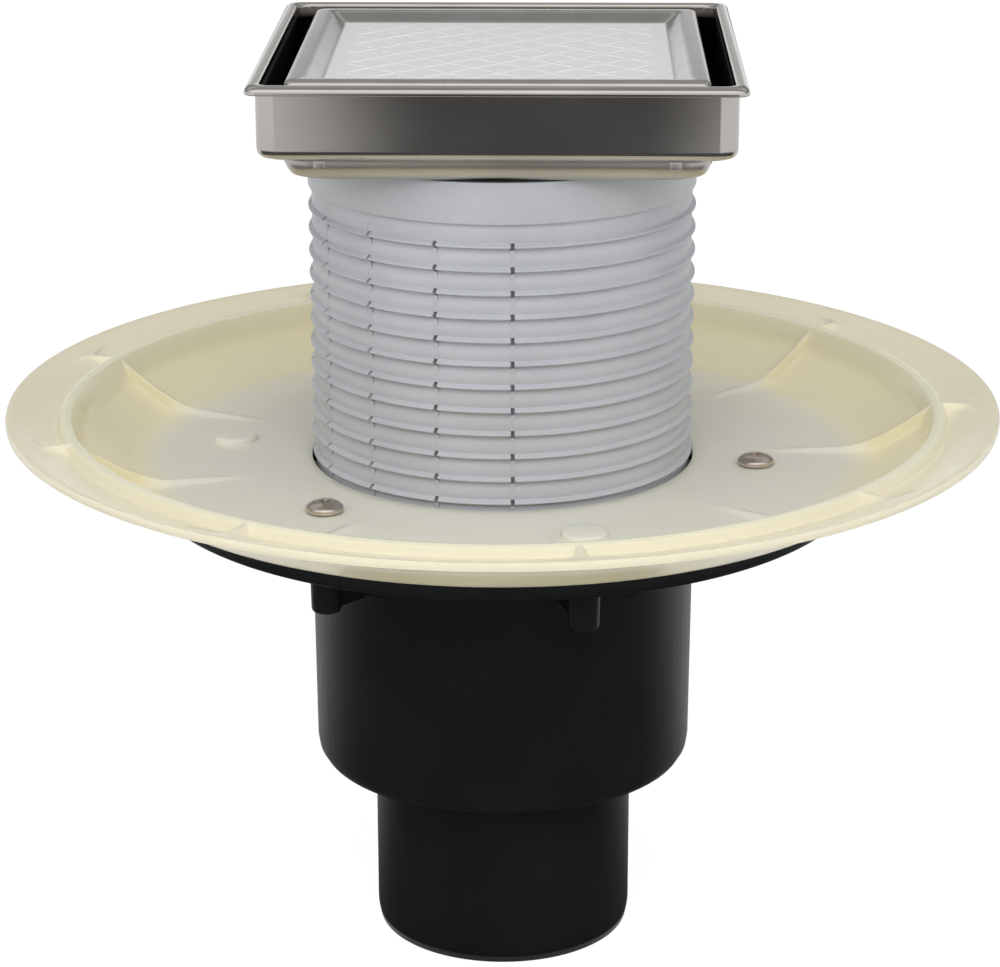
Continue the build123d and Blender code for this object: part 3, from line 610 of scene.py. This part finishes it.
def makeCollar():
    user = {"thick": 2.7, "holeGap": 0.25, "floorReach": 52.3, "slopeWidth": 13.0, "slopeRise": 8.0,
            "beadFoot": 2.6, "beadWidth": 3.4, "beadRise": 15.0, "gutterRise": 12.0, "gutter": 0.6,
            "rimRise": 16.3, "beadUnder": 1.5, "slopeUnder": (2.0, 2.43), "floorUnder": 1.0,
            "ribs": 9, "ribReach": 8.5, "toeInset": 9.5, "toeRise": 1.3, "tail": 23.0,
            "crestDrop": 0.3, "crestInset": 1.2, "crestCuts": 16, "spacing": 2.6, "stepsPerRib": 32,
            "across": (0.0, 0.72, 1.0, 1.25, 2.0, 3.4), "roomSteps": 10, "upward": 0.1, "leastRise": 0.02,
            "fullRise": 1.2, "crestRounds": (0.05, 0.32), "footRise": 0.9, "footShares": (0.6, 0.22),
            "padReach": 23.8, "padRadius": 6.2, "padDraft": 0.3, "padRise": 1.5, "padRoot": 0.4,
            "padSteps": 36, "padDegs": (-72.6, 50.0, 174.0), "pegRadius": 2.5, "pegRoot": 0.5,
            "sharpDeg": 38}
    low, high = boxMm("collar")
    neckRadius = boxMm("neck")[1].x
    rim, top = high.x, high.z
    floor = top - user["rimRise"]
    under = floor - user["thick"]
    floorEnd = neckRadius + user["floorReach"]
    slopeEnd = floorEnd + user["slopeWidth"]
    beadIn = slopeEnd + user["beadFoot"]
    bead = beadIn + user["beadWidth"]
    beadTop, slopeTop = floor + user["beadRise"], floor + user["slopeRise"]
    gutterFloor = floor + user["gutterRise"]
    hole = neckRadius + user["holeGap"]
    outline = [
        (hole, under, 0.3), (hole, floor, 0.35), (floorEnd, floor, 3.5), (slopeEnd, slopeTop, 2.2),
        (beadIn, beadTop, 1.5), (bead, beadTop, 1.5), (bead + user["gutter"], gutterFloor, 1.0),
        (rim, top, 1.0), (rim, top - user["thick"], 0.8),
        (bead + user["beadUnder"], gutterFloor - user["thick"], 2.0),
        (slopeEnd + user["slopeUnder"][0], slopeTop - user["slopeUnder"][1], 2.0),
        (floorEnd + user["floorUnder"], under, 2.0)]
    steps = user["ribs"] * user["stepsPerRib"]
    dish = turnPiece("ivoryCollar", divided(softened(outline), user["spacing"]), steps)

    # the crest of a rib: over the rim, along the bead, down the sweep and out along the floor
    crestTop = beadTop - user["crestDrop"]
    toe, toeLevel = floorEnd - user["toeInset"], floor + user["toeRise"]
    tip = bead + user["ribReach"]
    tipLevel = gutterFloor + (top - gutterFloor) * user["ribReach"] / (rim - bead)
    run, drop, inset = beadIn - toe, crestTop - toeLevel, user["crestInset"]
    sweep = [(beadIn + inset, crestTop), (beadIn - run / 3, crestTop - drop / 2),
             (beadIn - run * 2 / 3, toeLevel + drop / 20), (toe, toeLevel)]
    crest = [(toe - user["tail"], floor)]
    for cut in range(user["crestCuts"] + 1):
        t = 1 - cut / user["crestCuts"]
        shares = ((1 - t) ** 3, 3 * t * (1 - t) ** 2, 3 * t * t * (1 - t), t ** 3)
        crest.append(tuple(sum(share * point[k] for share, point in zip(shares, sweep))
                           for k in (0, 1)))
    crest += [(bead - inset, crestTop), (tip, tipLevel)]

    def crestLevel(radius):
        for (r0, z0), (r1, z1) in zip(crest, crest[1:]):
            if r0 <= radius <= r1 and r1 > r0:
                return z0 + (z1 - z0) * (radius - r0) / (r1 - r0)
        return None

    # the ribs are raised from the dish's own skin, so that their feet run into it in a curve:
    # across gives how far out from the rib's middle each step lies, and the steps beyond it are
    # spread over the room that is left
    across, roomSteps = user["across"], user["roomSteps"]
    last = len(across) - 1
    firstRound, secondRound = user["crestRounds"]
    footShare, toeShare = user["footShares"]
    ribDeg, stepDeg = 360 / user["ribs"], 360 / steps
    facesUp = [vertex.normal.z > user["upward"] for vertex in dish.data.vertices]
    for vertex in dish.data.vertices:
        radius, angle = vertex.co.xy.length / mm, math.degrees(math.atan2(vertex.co.y, vertex.co.x))
        level = crestLevel(radius)
        if level is None or not facesUp[vertex.index]:
            continue
        rib = round(angle / ribDeg)
        away = round((angle - rib * ribDeg) / stepDeg)
        count, side = abs(away), (1 if away > 0 else -1)
        if count >= roomSteps:
            continue
        room = radius * math.radians(roomSteps * stepDeg)
        if count <= last:
            wide = across[count]
        else:
            wide = across[last] + (room - across[last]) * (count - last) / (roomSteps - last)
        height = level - vertex.co.z / mm
        if height > user["leastRise"] and count < last:
            edge, foot = min(1.0, height / user["fullRise"]), min(user["footRise"], footShare * height)
            lifts = (height, height - firstRound * edge, height - secondRound * edge, foot,
                     toeShare * foot)
            vertex.co.z += lifts[count] * mm
        turned = math.radians(rib * ribDeg) + side * wide / radius
        vertex.co.x, vertex.co.y = radius * mm * math.cos(turned), radius * mm * math.sin(turned)

    padTop = floor + user["padRise"]
    pad = turnPiece("collarPad", softened([
        (0, padTop, 0), (user["padRadius"], padTop, 0.8),
        (user["padRadius"] + user["padDraft"], floor - user["padRoot"], 0),
        (user["pegRadius"], floor - user["pegRoot"], 0), (user["pegRadius"], low.z, 0.6),
        (0, low.z, 0)], 3), user["padSteps"])
    moved(pad, (neckRadius + user["padReach"], 0, 0))
    dish = joined("ivoryCollar", [dish] + copiesAround(pad, user["padDegs"]))
    smoothed(dish, user["sharpDeg"])
    standsFor(dish, "collar", "root", collarPlastic)


# Drain body: outlet spigot, pot, socket and flange, with bosses under the flange

def makeBody():
    user = {"spigotRadius": 37.5, "spigotWall": 2.5, "spigot": 53.0, "lead": (0.8, 4.0), "wall": 3.0,
            "draft": 0.5, "corner": 6.5, "stop": 2.2, "socketRoom": 2.1, "socketWall": 3.2,
            "socketDepth": 22.3, "socketFloor": 2.6, "mouthCut": 1.0, "flange": 5.8, "steps": 192,
            "screwReach": 18.8, "screwDegs": (-130.0, -10.0, 110.0), "screwBoss": 19.5,
            "pegReach": 23.8, "pegDegs": (-72.6, 50.0, 174.0), "pegBoss": 17.0, "bossRadius": 4.5,
            "bossDraft": 0.4, "bossSteps": 32, "sunk": 1.0, "webWidth": 2.6, "webTaper": 0.8,
            "webRound": 0.4, "sharpDeg": 38}
    high = boxMm("drain_body")[1]
    neckRadius = boxMm("neck")[1].x
    flangeRadius, top = high.x, high.z
    under, seat = top - user["flange"], top - user["socketDepth"]
    step = seat - user["socketFloor"]
    spigot, spigotBore = user["spigotRadius"], user["spigotRadius"] - user["spigotWall"]
    bore = neckRadius - user["stop"]
    pot = bore + user["wall"]
    socketBore = neckRadius + user["socketRoom"]
    socket = socketBore + user["socketWall"]
    potFoot = pot - user["draft"]
    outline = [
        (spigotBore, 0, 0.4), (spigot - user["lead"][0], 0, 0.5), (spigot, user["lead"][1], 1.5),
        (spigot, user["spigot"], 1.6), (potFoot, user["spigot"], user["corner"]),
        (pot, step, 1.4), (socket, step, 1.2),
        (socket, under, 1.5), (flangeRadius, under, 1.4), (flangeRadius, top, 1.2),
        (socketBore + user["mouthCut"], top, 0.3), (socketBore, top - user["mouthCut"], 0.3),
        (socketBore, seat, 0.3), (bore, seat, 0.4),
        (potFoot - user["wall"], user["spigot"] + user["wall"], 3.0),
        (spigotBore, user["spigot"] + user["wall"], 1.0)]
    parts = [turnPiece("blackBody", softened(outline, 4), user["steps"])]
    sunk = user["sunk"]
    for reach, length, degs in ((user["screwReach"], user["screwBoss"], user["screwDegs"]),
                                (user["pegReach"], user["pegBoss"], user["pegDegs"])):
        row, foot = neckRadius + reach, under - length
        slim = user["bossRadius"] - user["bossDraft"]
        boss = turnPiece("boss", softened([
            (0, under + sunk, 0), (user["bossRadius"], under + sunk, 0), (slim, foot, 1.3),
            (0, foot, 0)], 4), user["bossSteps"])
        moved(boss, (row, 0, 0))
        # the web: a slab, narrower and rounder at its foot
        web = newBlock((row - socket + sunk, user["webWidth"], length + sunk))
        pickFaces(web, facesDown)
        bpy.ops.transform.resize(value=(1, user["webTaper"], 1))
        bpy.ops.mesh.bevel(offset=user["webRound"] * mm, segments=3)
        bpy.ops.mesh.select_all(action="DESELECT")
        bpy.ops.object.mode_set(mode="OBJECT")
        moved(web, ((row + socket - sunk) / 2, 0, under + sunk - (length + sunk) / 2))
        parts += copiesAround(boss, degs) + copiesAround(web, degs)
    body = joined("blackBody", parts)
    smoothed(body, user["sharpDeg"])
    standsFor(body, "drain_body", "root", bodyPlastic)


# Collar screws: pan heads with a cross recess and a thread

def makeScrews():
    user = {"reach": 18.8, "degs": (-130.0, -10.0, 110.0), "head": 5.2, "headEdge": 1.25, "rise": 2.9,
            "crown": (3.6, 0.5), "shank": 2.4, "grip": 1.6, "root": 1.85, "pitch": 1.8, "rootDrop": 0.7,
            "threads": 9, "point": 3.0, "tip": 0.6, "length": 22.0, "steps": 40, "crossReach": 2.5,
            "crossWidth": 1.15, "crossDepth": 1.7, "crossTaper": (0.45, 0.5, 1), "crossDeg": 25,
            "sharpDeg": 40}
    seat = boxMm("collar_screws")[1].z - user["rise"]
    top, tip = seat + user["rise"], seat - user["length"]
    head, shank = user["head"], user["shank"]
    outline = [(0, top, 0), (user["crown"][0], top - user["crown"][1], 1.4),
               (head, seat + user["headEdge"], 0.7), (head, seat, 0.25), (shank, seat, 0.2),
               (shank, seat - user["grip"], 0)]
    for k in range(user["threads"]):
        level = seat - user["grip"] - k * user["pitch"]
        outline += [(user["root"], level - user["rootDrop"], 0.2), (shank, level - user["pitch"], 0.1)]
    outline += [(shank, tip + user["point"], 0.2), (user["tip"], tip, 0.3), (0, tip, 0)]
    screw = turnPiece("collarScrew", softened(outline, 3), user["steps"])
    # the recess: a cross that narrows with depth, cut out of the head
    arms = []
    for turn in (0, 90):
        arm = newBlock((2 * user["crossReach"], user["crossWidth"], 2 * user["crossDepth"]))
        pickFaces(arm, facesDown)
        bpy.ops.transform.resize(value=user["crossTaper"])
        bpy.ops.object.mode_set(mode="OBJECT")
        arm.data.transform(Matrix.Rotation(math.radians(turn), 4, "Z"))
        moved(arm, (0, 0, top))
        arms.append(arm)
    for arm in arms:
        bpy.ops.object.select_all(action="DESELECT")
        bpy.context.view_layer.objects.active = screw
        cut = screw.modifiers.new("recess", "BOOLEAN")
        cut.operation, cut.object, cut.solver = "DIFFERENCE", arm, "EXACT"
        bpy.ops.object.modifier_apply(modifier=cut.name)
        bpy.data.objects.remove(arm)
    screw.data.transform(Matrix.Rotation(math.radians(user["crossDeg"]), 4, "Z"))
    moved(screw, (boxMm("neck")[1].x + user["reach"], 0, 0))
    screws = joined("collarScrews", copiesAround(screw, user["degs"]))
    smoothed(screws, user["sharpDeg"])
    standsFor(screws, "collar_screws", "root", screwSteel)


# Pan: a frame flange with a folded lip, a wall, a ledge and a lower step, drawn from one sheet

def makePan():
    user = {"sheet": 1.2, "lip": 2.4, "frameCorner": 3.0, "frameReach": 2.4, "panCorner": 5.2,
            "lipRoll": 1.1, "mouthRound": 1.2, "wallRound": 4.2, "ledge": 6.6, "step": 6.8,
            "stepCorner": 7.0, "stepFoot": (2.2, 3.4), "innerFoot": (2.8, 3.8), "sleeve": 5.2,
            "holeGap": 0.3, "cuts": 10, "nub": (3.0, 0.6, 2.4), "nubRound": 0.25, "nubInset": 1.0,
            "sharpDeg": 50}
    low, high = boxMm("frame_pan")
    sheet, top, under = user["sheet"], high.z, low.z
    frame = high.x
    wall = frame - user["frameReach"]
    step = wall - user["ledge"]
    hole = boxMm("neck")[1].x - user["sleeve"] + user["holeGap"]
    ledge, lip, roll = under + user["step"], top - user["lip"], user["lipRoll"]
    panCorner, stepCorner, frameCorner = user["panCorner"], user["stepCorner"], user["frameCorner"]
    wallIn, stepIn, panIn = wall - sheet, step - sheet, panCorner - sheet
    (footRun, footRise), (innerRun, innerRise) = user["stepFoot"], user["innerFoot"]
    outline = [
        (hole, under, 0.2, hole), (step - footRun, under, 1.6, stepCorner - 1.0),
        (step, under + footRise, 1.9, stepCorner), (step, ledge, 1.5, stepCorner),
        (wall, ledge, user["wallRound"], panCorner), (wall, top - sheet, 0.5, panCorner),
        (frame - sheet, top - sheet, 0.6, frameCorner), (frame - sheet, lip, 0.3, frameCorner),
        (frame, lip, 0.3, frameCorner), (frame, top - roll, 0.7, frameCorner),
        (frame - roll, top, 0.9, frameCorner), (wallIn, top, user["mouthRound"], panIn),
        (wallIn, ledge + sheet, user["wallRound"] - sheet, panIn),
        (stepIn, ledge + sheet, 1.8, stepCorner - sheet),
        (stepIn, under + innerRise, 1.8, stepCorner - sheet),
        (step - innerRun, under + sheet, 1.2, stepCorner - 1.6), (hole, under + sheet, 0.2, hole)]
    pan = loftPiece("steelPan", softened(outline, 5), user["cuts"], True)
    # eight small raised marks on the step's sides
    nub = newBlock(user["nub"])
    bpy.ops.mesh.bevel(offset=user["nubRound"] * mm, segments=3)
    bpy.ops.object.mode_set(mode="OBJECT")
    side = step - stepCorner - user["nubInset"] - user["nub"][0] / 2
    moved(nub, (side, -step, ledge - user["nubInset"] - user["nub"][2] / 2))
    twin = twinOf(nub)
    moved(twin, (-2 * side, 0, 0))
    quarters = [0, 90, 180, 270]
    pan = joined("steelPan", [pan] + copiesAround(nub, quarters) + copiesAround(twin, quarters))
    smoothed(pan, user["sharpDeg"])
    standsFor(pan, "frame_pan", "neck_unit", panSteel)


# Tray: pressed sheet with a rim, a skirt and a sloping recess for the tile

def makeTray():
    user = {"sheet": 1.2, "skirt": 7.0, "corner": 2.4, "edge": 1.6, "rim": 4.9, "slopeRun": 4.0,
            "depth": 3.0, "floorCorner": 1.5, "centre": 4.0, "hatchReach": 42.0, "hatchPitch": 9.9,
            "hatchWidth": 1.6, "hatchDepth": 1.0, "hatchRound": 0.4, "hatchRise": 0.22,
            "hatchDrop": 0.04, "cuts": 8, "sharpDeg": 50}
    high = boxMm("tile_tray")[1]
    sheet, top, half = user["sheet"], high.z, high.x
    mouth = half - user["rim"]
    floorHalf = mouth - user["slopeRun"]
    floor, foot = top - user["depth"], top - user["skirt"]
    corner, floorCorner, centre = user["corner"], user["floorCorner"], user["centre"]
    outline = [
        (centre, floor, 0, centre), (floorHalf, floor, 1.2, floorCorner), (mouth, top, 1.0, corner),
        (half, top, user["edge"], corner), (half, foot, 0.3, corner), (half - sheet, foot, 0.3, corner),
        (half - sheet, top - sheet, 0.5, corner), (mouth + sheet / 2, top - sheet, 0.5, corner),
        (floorHalf + sheet / 2, floor - sheet, 1.2, floorCorner), (centre, floor - sheet, 0, centre)]
    tray = loftPiece("tileTray", softened(outline, 4), user["cuts"], False)
    # a raised lattice keys the tile's adhesive: one short bar, sunk in the floor, is copied and
    # lengthened to the field's edge, and the bars of one direction lie a little lower
    start = user["hatchWidth"]
    bar = newBlock((2 * start, user["hatchWidth"], user["hatchDepth"]))
    bpy.ops.mesh.bevel(offset=user["hatchRound"] * mm, segments=4)
    bpy.ops.object.mode_set(mode="OBJECT")
    moved(bar, (0, 0, floor + user["hatchRise"] - user["hatchDepth"] / 2))
    diagonal = user["hatchReach"] * math.sqrt(2)
    lines = int(diagonal / user["hatchPitch"])
    parts = [tray]
    for k in range(-lines, lines + 1):
        longer = diagonal - abs(k) * user["hatchPitch"] - start
        for turn, drop in ((45, 0), (-45, user["hatchDrop"])):
            twin = twinOf(bar)
            for vertex in twin.data.vertices:
                vertex.co.x += math.copysign(longer * mm, vertex.co.x)
            moved(twin, (0, k * user["hatchPitch"], -drop))
            parts += copiesAround(twin, [turn])
    bpy.data.objects.remove(bar)
    tray = joined("tileTray", parts)
    smoothed(tray, user["sharpDeg"])
    standsFor(tray, "tile_tray", "neck_unit", traySteel)


makeNeck()
makePan()
makeTray()
makeCollar()
makeBody()
makeScrews()
print("stage: pieces made")


# Floor, background, lights and camera

def seenRays(tree, names):
    # 1 for rays of these kinds and 0 for the rest
    rays = addNode(tree, "LightPath")
    seen = rays.outputs[names[0]]
    for name in names[1:]:
        seen = addNode(tree, "Math", {0: seen, 1: rays.outputs[name]}, 0, operation="MAXIMUM")
    return seen


def makeStudio():
    user = {"floorSize": 14.0, "floorColour": "#fafafa", "floorGlow": 0.88, "glowLevel": 1.08,
            "skyDiffuse": 0.47, "boxAhead": (-0.1, -0.5), "boxHeight": (0.05, 0.4), "boxLevel": 0.75,
            "roomLevels": ((0.0, 0.9), (0.1, 0.9), (0.25, 0.26), (0.45, 0.28), (0.75, 0.6),
                           (1.0, 0.34))}
    # the floor: matt where it lights the part, and mostly a white glow where it is seen
    bpy.ops.object.select_all(action="DESELECT")
    bpy.ops.mesh.primitive_plane_add(size=user["floorSize"], location=(0, 0, 0))
    floor = bpy.context.object
    floor.name = "paleFloor"
    material = bpy.data.materials.new("paleStudioFloor")
    material.use_nodes = True
    tree = material.node_tree
    tree.nodes.clear()
    seen = seenRays(tree, ["Is Camera Ray", "Is Glossy Ray", "Is Transmission Ray"])
    share = addNode(tree, "Math", {0: seen, 1: user["floorGlow"]}, 0, operation="MULTIPLY")
    matt = addNode(tree, "BsdfDiffuse", {"Color": hexColour(user["floorColour"])}, 0)
    glow = addNode(tree, "Emission", {"Color": (1, 1, 1, 1), "Strength": user["glowLevel"]}, 0)
    both = addNode(tree, "MixShader", {0: share, 1: matt, 2: glow}, 0)
    addNode(tree, "OutputMaterial", {"Surface": both})
    floor.data.materials.append(material)

    # the room: white behind the part and plain light on it; in reflections it is pale at the
    # horizon and greyer above, with a softbox high in front
    world = bpy.data.worlds.new("paleRoom")
    bpy.context.scene.world = world
    world.use_nodes = True
    tree = world.node_tree
    tree.nodes.clear()
    way = addNode(tree, "SeparateXYZ", {0: addNode(tree, "TexCoord", output="Generated")})
    room = addNode(tree, "ValToRGB", {"Fac": way.outputs[2]})
    stops = room.color_ramp.elements
    for place, level in user["roomLevels"]:
        stop = stops[0] if place == 0.0 else stops[-1] if place == 1.0 else stops.new(place)
        stop.color = (level, level, level, 1.0)
    box = user["boxLevel"]
    for axis, (start, end) in ((1, user["boxAhead"]), (2, user["boxHeight"])):
        grown = addNode(tree, "MapRange", {
            "Value": way.outputs[axis], "From Min": start, "From Max": end}, 0)
        box = addNode(tree, "Math", {0: grown, 1: box}, 0, operation="MULTIPLY")
    mirrored = addNode(tree, "Math", {0: room.outputs[0], 1: box}, 0)
    level = addNode(tree, "Mix", {
        0: seenRays(tree, ["Is Glossy Ray"]), 2: user["skyDiffuse"], 3: mirrored}, 0)
    direct = seenRays(tree, ["Is Camera Ray", "Is Transmission Ray"])
    shown = addNode(tree, "Math", {0: level, 1: direct}, 0, operation="MAXIMUM")
    sky = addNode(tree, "Background", {"Color": (1, 1, 1, 1), "Strength": shown}, 0)
    addNode(tree, "OutputWorld", {"Surface": sky})


def addSoftbox(name, place, aim, size, power):
    lamp = bpy.data.lights.new(name, "AREA")
    lamp.shape = "RECTANGLE"
    lamp.size, lamp.size_y = size
    lamp.energy = power
    holder = bpy.data.objects.new(name, lamp)
    bpy.context.scene.collection.objects.link(holder)
    holder.location = place
    holder.rotation_euler = (Vector(aim) - Vector(place)).to_track_quat("-Z", "Y").to_euler()
    holder.visible_glossy = False


def addCards():
    # dark cards on the floor, seen only in reflections: a wedge before the part and one behind
    # it, and a near one in front of it
    user = {"size": 8.0, "lift": 0.002, "darkShare": 0.105, "paleShare": 0.3, "shift": -0.010,
            "nearEnd": 0.5, "nearSoft": 0.68, "frontEnd": -0.03, "frontSoft": 0.17, "dark": 0.09,
            "pale": 0.8}
    bpy.ops.object.select_all(action="DESELECT")
    bpy.ops.mesh.primitive_plane_add(size=user["size"], location=(0, 0, user["lift"]))
    card = bpy.context.object
    card.name = "darkCards"
    material = bpy.data.materials.new("darkStudioCards")
    material.use_nodes = True
    tree = material.node_tree
    tree.nodes.clear()
    place = addNode(tree, "TexCoord", output="Object")
    split = addNode(tree, "SeparateXYZ", {0: place})
    aside = addNode(tree, "Math", {0: split.outputs[0], 1: user["shift"]}, 0)
    aside, ahead = [addNode(tree, "Math", {0: value}, 0, operation="ABSOLUTE")
                    for value in (aside, split.outputs[1])]
    arm = addNode(tree, "Math", {0: aside, 1: ahead}, 0, operation="DIVIDE")
    beside, far, behind = [
        addNode(tree, "MapRange", {"Value": value, "From Min": start, "From Max": end}, 0,
                interpolation_type="SMOOTHSTEP")
        for value, start, end in ((arm, user["darkShare"], user["paleShare"]),
                                  (radiusOf(tree, place), user["nearEnd"], user["nearSoft"]),
                                  (split.outputs[1], user["frontEnd"], user["frontSoft"]))]
    clear = addNode(tree, "Math", {0: far, 1: behind}, 0, operation="MAXIMUM")
    both = addNode(tree, "Math", {0: beside, 1: clear}, 0, operation="MULTIPLY")
    level = addNode(tree, "MapRange", {
        "Value": both, "To Min": user["dark"], "To Max": user["pale"]}, 0)
    glow = addNode(tree, "Emission", {"Color": (1, 1, 1, 1), "Strength": level}, 0)
    addNode(tree, "OutputMaterial", {"Surface": glow})
    card.data.materials.append(material)
    card.visible_camera = False
    card.visible_diffuse = False
    card.visible_shadow = False
    card.visible_transmission = False


def makeCamera():
    # the pinhole camera that was fitted to the photograph, about the frame's top
    user = {"focalPx": 3101.7, "photoWidthPx": 1000, "pitchDeg": 18.51, "distance": 0.8483,
            "aboveFrame": 0.1557, "azimuthDeg": 1.28, "yawDeg": 1.33, "rollDeg": -0.11,
            "sensorMm": 36.0}
    lens = bpy.data.cameras.new("photoCamera")
    lens.sensor_width = user["sensorMm"]
    lens.lens = lens.sensor_width * user["focalPx"] / user["photoWidthPx"]
    camera = bpy.data.objects.new("photoCamera", lens)
    bpy.context.scene.collection.objects.link(camera)
    azimuth, yaw = math.radians(user["azimuthDeg"]), math.radians(user["yawDeg"])
    pitch, roll = math.radians(user["pitchDeg"]), math.radians(user["rollDeg"])
    forward = Vector((-math.sin(yaw) * math.cos(pitch), math.cos(yaw) * math.cos(pitch),
                      -math.sin(pitch)))
    right = Vector((math.cos(yaw), math.sin(yaw), 0))
    up = right.cross(forward)
    right, up = (right * math.cos(roll) + up * math.sin(roll),
                 up * math.cos(roll) - right * math.sin(roll))
    turn = Matrix((right, up, -forward)).transposed().to_4x4()
    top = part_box("frame_pan")[1].z
    place = Vector((user["distance"] * math.sin(azimuth), -user["distance"] * math.cos(azimuth),
                    top + user["aboveFrame"]))
    camera.matrix_world = Matrix.Translation(place) @ turn
    bpy.context.scene.camera = camera


makeStudio()
addCards()
middle = (0, 0, 0.14)
softboxes = {  # place, size and watts
    "keyLight": ((0.0, -1.35, 1.25), (1.5, 1.0), 14.0),
    "sideLight": ((1.4, -0.5, 0.9), (0.8, 1.0), 3.0),
    "farSideLight": ((-1.4, -0.5, 0.9), (0.8, 1.0), 3.0),
    "topLight": ((0.0, -0.3, 1.9), (1.2, 1.2), 6.0)}
for name, (place, size, power) in softboxes.items():
    addSoftbox(name, place, middle, size, power)
makeCamera()
bpy.context.scene.view_settings.view_transform = "Standard"
print("stage: studio made")
